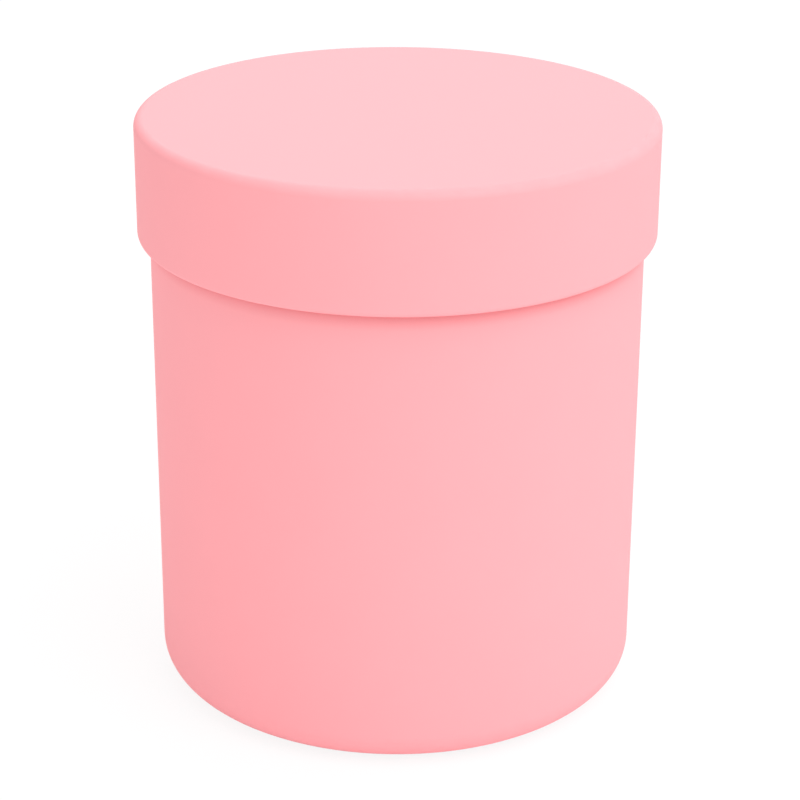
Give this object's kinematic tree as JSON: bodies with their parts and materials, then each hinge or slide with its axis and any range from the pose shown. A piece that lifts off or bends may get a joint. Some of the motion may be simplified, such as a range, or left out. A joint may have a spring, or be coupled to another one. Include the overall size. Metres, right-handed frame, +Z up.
{
  "type": "round box",
  "caption": "Round plastic box with a deep slip-on lid, an inner liner with a lip seal, and an inset soft foot ring. The lid lifts straight off.",
  "frame": {"origin": "on the box's axis, on the surface it stands on, under the middle of the foot ring", "axes": "+Z up along the axis of the box, the way the lid lifts; X and Y are alike, because the box is turned"},
  "size_m": [0.105, 0.105, 0.1209],
  "materials": {
    "soft_touch_pink": "soft-touch matte, light salmon pink",
    "moulded_pink": "satin as moulded, light salmon pink",
    "seal_rubber": "milky matte silicone",
    "foot_rubber": "pale grey matte silicone"
  },
  "bodies": {
    "box": {"body_shell": "soft_touch_pink", "foot_ring": "foot_rubber"},
    "lid": {"lid_cap": "soft_touch_pink", "lid_liner": "moulded_pink", "lid_seal": "seal_rubber"}
  },
  "joints": [
    {"name": "lid_lift", "type": "slide", "parent": "box", "child": "lid", "axis": [0, 0, 1], "range_m": [0, 0.135]}
  ]
}
